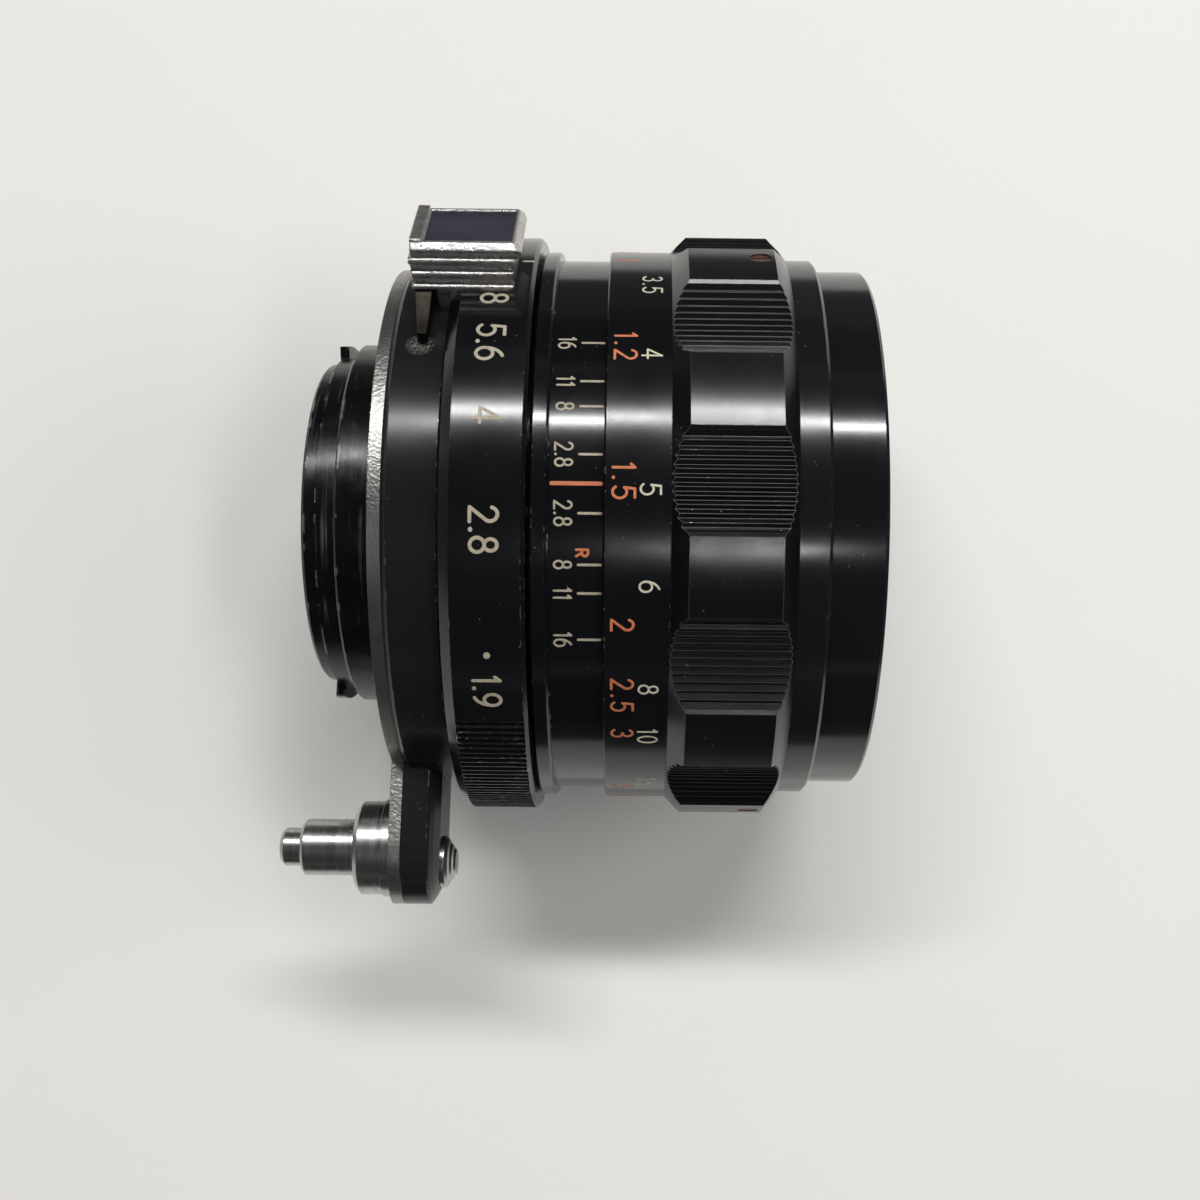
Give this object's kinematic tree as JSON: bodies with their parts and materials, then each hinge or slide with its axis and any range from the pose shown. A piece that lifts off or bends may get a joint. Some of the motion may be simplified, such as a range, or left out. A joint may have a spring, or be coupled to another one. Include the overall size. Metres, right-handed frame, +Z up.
{
  "type": "camera lens",
  "caption": "Manual camera lens with bayonet rear mount, scalloped focus ring, aperture ring with finger block, iris and a side arm carrying a spring release plunger.",
  "frame": {"origin": "on the optical axis at the rear seat face of the flange plate, which is the inner end of the bayonet spigot", "axes": "+X along the optical axis towards the front of the lens, +Z up with the lens lying on its side, release arm towards -Y"},
  "size_m": [0.0586, 0.0695, 0.0605],
  "materials": {
    "black_barrel": "satin black anodised",
    "worn_mount": "black paint, chipped to metal",
    "satin_chrome": "grainy satin chrome",
    "polished_steel": "turned and polished",
    "cast_chrome": "cast, worn chrome",
    "dark_enamel": "dark blue-black enamel",
    "screw_steel": "turned",
    "copper_screw": "aged, brown",
    "brass": "turned",
    "matt_black": "matt black anodised",
    "coated_glass": "coated, polished",
    "clear_glass": "polished",
    "blade_steel": "blued"
  },
  "bodies": {
    "housing": {"bayonet_mount": "worn_mount", "flange_plate": "satin_chrome", "mount_screws": "screw_steel", "plate_screws": "screw_steel", "rear_housing": "black_barrel", "main_barrel": "brass", "depth_ring": "black_barrel", "guide_keys": "brass", "key_screws": "screw_steel", "plunger_guide": "polished_steel", "guide_bush": "polished_steel", "click_ball": "screw_steel", "click_spring": "screw_steel", "plunger_spring": "screw_steel"},
    "aperture": {"aperture_ring": "black_barrel", "finger_block": "cast_chrome", "block_inlay": "dark_enamel", "coupling_finger": "cast_chrome", "preset_cam": "brass", "cam_pins": "screw_steel"},
    "focus": {"focus_grip": "black_barrel", "distance_ring": "black_barrel", "front_collar": "black_barrel", "focus_nut": "brass", "grip_screws": "copper_screw"},
    "front": {"filter_ring": "black_barrel", "helicoid_barrel": "brass", "bezel_ring": "matt_black", "front_cell": "matt_black", "rear_cell": "matt_black", "front_element": "coated_glass", "second_element": "clear_glass", "third_element": "clear_glass", "fourth_element": "clear_glass", "fifth_element": "clear_glass", "rear_element": "coated_glass", "front_retainer": "matt_black", "front_spacer": "matt_black", "rear_retainer": "matt_black", "iris_plate": "brass"},
    "iris_drive": {"iris_ring": "brass"},
    "stop_down": {"stop_ring": "brass"},
    "plunger": {"plunger_pin": "polished_steel", "plunger_disc": "screw_steel", "release_button": "polished_steel"},
    "blade_1": {"iris_blade_1": "blade_steel"},
    "blade_2": {"iris_blade_2": "blade_steel"},
    "blade_3": {"iris_blade_3": "blade_steel"},
    "blade_4": {"iris_blade_4": "blade_steel"},
    "blade_5": {"iris_blade_5": "blade_steel"},
    "blade_6": {"iris_blade_6": "blade_steel"}
  },
  "joints": [
    {"name": "focus_turn", "type": "hinge", "parent": "housing", "child": "focus", "pos_m": [0.03, 0, 0], "axis": [1, 0, 0], "range_deg": [-100, 168]},
    {"name": "front_slide", "type": "slide", "parent": "housing", "child": "front", "axis": [1, 0, 0], "range_m": [-0.00231, 0.00387]},
    {"name": "aperture_turn", "type": "hinge", "parent": "housing", "child": "aperture", "pos_m": [0.0106, 0, 0], "axis": [1, 0, 0], "range_deg": [-30.7, 52]},
    {"name": "plunger_press", "type": "slide", "parent": "housing", "child": "plunger", "axis": [-1, 0, 0], "range_m": [0, 0.0018], "stiffness_N_per_m": 300, "springref_m": -0.001, "deforming": ["plunger_spring"]},
    {"name": "stop_down_turn", "type": "hinge", "parent": "housing", "child": "stop_down", "pos_m": [0.005, 0, 0], "axis": [1, 0, 0], "range_deg": [-0.01, 10.01]},
    {"name": "iris_drive_turn", "type": "hinge", "parent": "front", "child": "iris_drive", "pos_m": [0.019, 0, 0], "axis": [1, 0, 0], "range_deg": [-0.01, 10.01]},
    {"name": "blade_1_swing", "type": "hinge", "parent": "front", "child": "blade_1", "pos_m": [0.01688, 0, 0.0184], "axis": [1, 0, 0], "range_deg": [-0.01, 21.01]},
    {"name": "blade_2_swing", "type": "hinge", "parent": "front", "child": "blade_2", "pos_m": [0.01717, -0.01593, 0.0092], "axis": [1, 0, 0], "range_deg": [-0.01, 21.01]},
    {"name": "blade_3_swing", "type": "hinge", "parent": "front", "child": "blade_3", "pos_m": [0.01748, -0.01593, -0.0092], "axis": [1, 0, 0], "range_deg": [-0.01, 21.01]},
    {"name": "blade_4_swing", "type": "hinge", "parent": "front", "child": "blade_4", "pos_m": [0.01777, 0, -0.0184], "axis": [1, 0, 0], "range_deg": [-0.01, 21.01]},
    {"name": "blade_5_swing", "type": "hinge", "parent": "front", "child": "blade_5", "pos_m": [0.01808, 0.01593, -0.0092], "axis": [1, 0, 0], "range_deg": [-0.01, 21.01]},
    {"name": "blade_6_swing", "type": "hinge", "parent": "front", "child": "blade_6", "pos_m": [0.01837, 0.01593, 0.0092], "axis": [1, 0, 0], "range_deg": [-0.01, 21.01]}
  ],
  "couplings": [
    {"joint": "front_slide", "follows": "focus_turn", "m_per_rad": 0.001321},
    {"joint": "stop_down_turn", "follows": "plunger_press", "rad_per_m": 96.963},
    {"joint": "iris_drive_turn", "follows": "plunger_press", "rad_per_m": 96.963},
    {"joint": "blade_1_swing", "follows": "plunger_press", "rad_per_m": 203.62},
    {"joint": "blade_2_swing", "follows": "plunger_press", "rad_per_m": 203.62},
    {"joint": "blade_3_swing", "follows": "plunger_press", "rad_per_m": 203.62},
    {"joint": "blade_4_swing", "follows": "plunger_press", "rad_per_m": 203.62},
    {"joint": "blade_5_swing", "follows": "plunger_press", "rad_per_m": 203.62},
    {"joint": "blade_6_swing", "follows": "plunger_press", "rad_per_m": 203.62}
  ]
}
